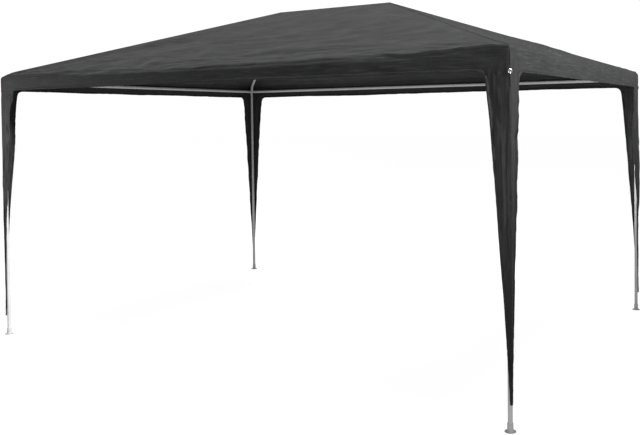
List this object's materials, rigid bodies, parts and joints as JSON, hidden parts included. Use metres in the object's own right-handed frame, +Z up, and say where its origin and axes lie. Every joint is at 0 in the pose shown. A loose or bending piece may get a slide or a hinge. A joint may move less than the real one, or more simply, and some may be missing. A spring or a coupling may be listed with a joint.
{
  "type": "garden gazebo",
  "caption": "Party gazebo: a hip-roofed woven cover with valance and tapered leg covers on a slot-together steel tube frame.",
  "frame": {"origin": "on the ground, below the middle of the roof", "axes": "+X along the long side to the right, +Y to the back, +Z up; the front is -Y"},
  "size_m": [4, 3, 2.4469],
  "materials": {
    "frame_tube": "light grey powder coat on steel tube",
    "connector": "light grey powder coat on welded steel",
    "foot_plastic": "moulded grey plastic, fine grain",
    "cover_cloth": "woven polyethylene tape cloth, anthracite, faint sheen",
    "eyelet_metal": "bright nickel-plated steel"
  },
  "bodies": {
    "roof_frame": {"corner_connector_back_left": "connector", "corner_connector_back_right": "connector", "corner_connector_front_left": "connector", "corner_connector_front_right": "connector", "eave_tube_back_1": "frame_tube", "eave_tube_back_2": "frame_tube", "eave_tube_back_3": "frame_tube", "eave_tube_back_4": "frame_tube", "eave_tube_front_1": "frame_tube", "eave_tube_front_2": "frame_tube", "eave_tube_front_3": "frame_tube", "eave_tube_front_4": "frame_tube", "eave_tube_left_1": "frame_tube", "eave_tube_left_2": "frame_tube", "eave_tube_left_3": "frame_tube", "eave_tube_right_1": "frame_tube", "eave_tube_right_2": "frame_tube", "eave_tube_right_3": "frame_tube", "rafter_lower_back_left": "frame_tube", "rafter_lower_back_right": "frame_tube", "rafter_lower_front_left": "frame_tube", "rafter_lower_front_right": "frame_tube", "rafter_upper_back_left": "frame_tube", "rafter_upper_back_right": "frame_tube", "rafter_upper_front_left": "frame_tube", "rafter_upper_front_right": "frame_tube", "ridge_connector_left": "connector", "ridge_connector_right": "connector", "ridge_tube": "frame_tube"},
    "leg_upper_front_left": {"leg_upper_front_left": "frame_tube"},
    "leg_lower_front_left": {"leg_lower_front_left": "frame_tube"},
    "foot_front_left": {"foot_front_left": "foot_plastic"},
    "leg_upper_front_right": {"leg_upper_front_right": "frame_tube"},
    "leg_lower_front_right": {"leg_lower_front_right": "frame_tube"},
    "foot_front_right": {"foot_front_right": "foot_plastic"},
    "leg_upper_back_left": {"leg_upper_back_left": "frame_tube"},
    "leg_lower_back_left": {"leg_lower_back_left": "frame_tube"},
    "foot_back_left": {"foot_back_left": "foot_plastic"},
    "leg_upper_back_right": {"leg_upper_back_right": "frame_tube"},
    "leg_lower_back_right": {"leg_lower_back_right": "frame_tube"},
    "foot_back_right": {"foot_back_right": "foot_plastic"},
    "cover": {"corner_eyelets": "eyelet_metal", "leg_cover_back_left": "cover_cloth", "leg_cover_back_right": "cover_cloth", "leg_cover_front_left": "cover_cloth", "leg_cover_front_right": "cover_cloth", "roof_panel_back": "cover_cloth", "roof_panel_front": "cover_cloth", "roof_panel_left": "cover_cloth", "roof_panel_right": "cover_cloth", "valance_back": "cover_cloth", "valance_front": "cover_cloth", "valance_left": "cover_cloth", "valance_right": "cover_cloth"}
  },
  "joints": [
    {"name": "leg_upper_front_left_pull", "type": "slide", "parent": "roof_frame", "child": "leg_upper_front_left", "axis": [0, 0, -1], "range_m": [0, 0.055]},
    {"name": "leg_lower_front_left_pull", "type": "slide", "parent": "leg_upper_front_left", "child": "leg_lower_front_left", "axis": [0, 0, -1], "range_m": [0, 0.055]},
    {"name": "foot_front_left_pull", "type": "slide", "parent": "leg_lower_front_left", "child": "foot_front_left", "axis": [0, 0, -1], "range_m": [0, 0.04]},
    {"name": "leg_upper_front_right_pull", "type": "slide", "parent": "roof_frame", "child": "leg_upper_front_right", "axis": [0, 0, -1], "range_m": [0, 0.055]},
    {"name": "leg_lower_front_right_pull", "type": "slide", "parent": "leg_upper_front_right", "child": "leg_lower_front_right", "axis": [0, 0, -1], "range_m": [0, 0.055]},
    {"name": "foot_front_right_pull", "type": "slide", "parent": "leg_lower_front_right", "child": "foot_front_right", "axis": [0, 0, -1], "range_m": [0, 0.04]},
    {"name": "leg_upper_back_left_pull", "type": "slide", "parent": "roof_frame", "child": "leg_upper_back_left", "axis": [0, 0, -1], "range_m": [0, 0.055]},
    {"name": "leg_lower_back_left_pull", "type": "slide", "parent": "leg_upper_back_left", "child": "leg_lower_back_left", "axis": [0, 0, -1], "range_m": [0, 0.055]},
    {"name": "foot_back_left_pull", "type": "slide", "parent": "leg_lower_back_left", "child": "foot_back_left", "axis": [0, 0, -1], "range_m": [0, 0.04]},
    {"name": "leg_upper_back_right_pull", "type": "slide", "parent": "roof_frame", "child": "leg_upper_back_right", "axis": [0, 0, -1], "range_m": [0, 0.055]},
    {"name": "leg_lower_back_right_pull", "type": "slide", "parent": "leg_upper_back_right", "child": "leg_lower_back_right", "axis": [0, 0, -1], "range_m": [0, 0.055]},
    {"name": "foot_back_right_pull", "type": "slide", "parent": "leg_lower_back_right", "child": "foot_back_right", "axis": [0, 0, -1], "range_m": [0, 0.04]},
    {"name": "cover_lift", "type": "slide", "parent": "roof_frame", "child": "cover", "axis": [0, 0, 1], "range_m": [0, 2.4]}
  ]
}
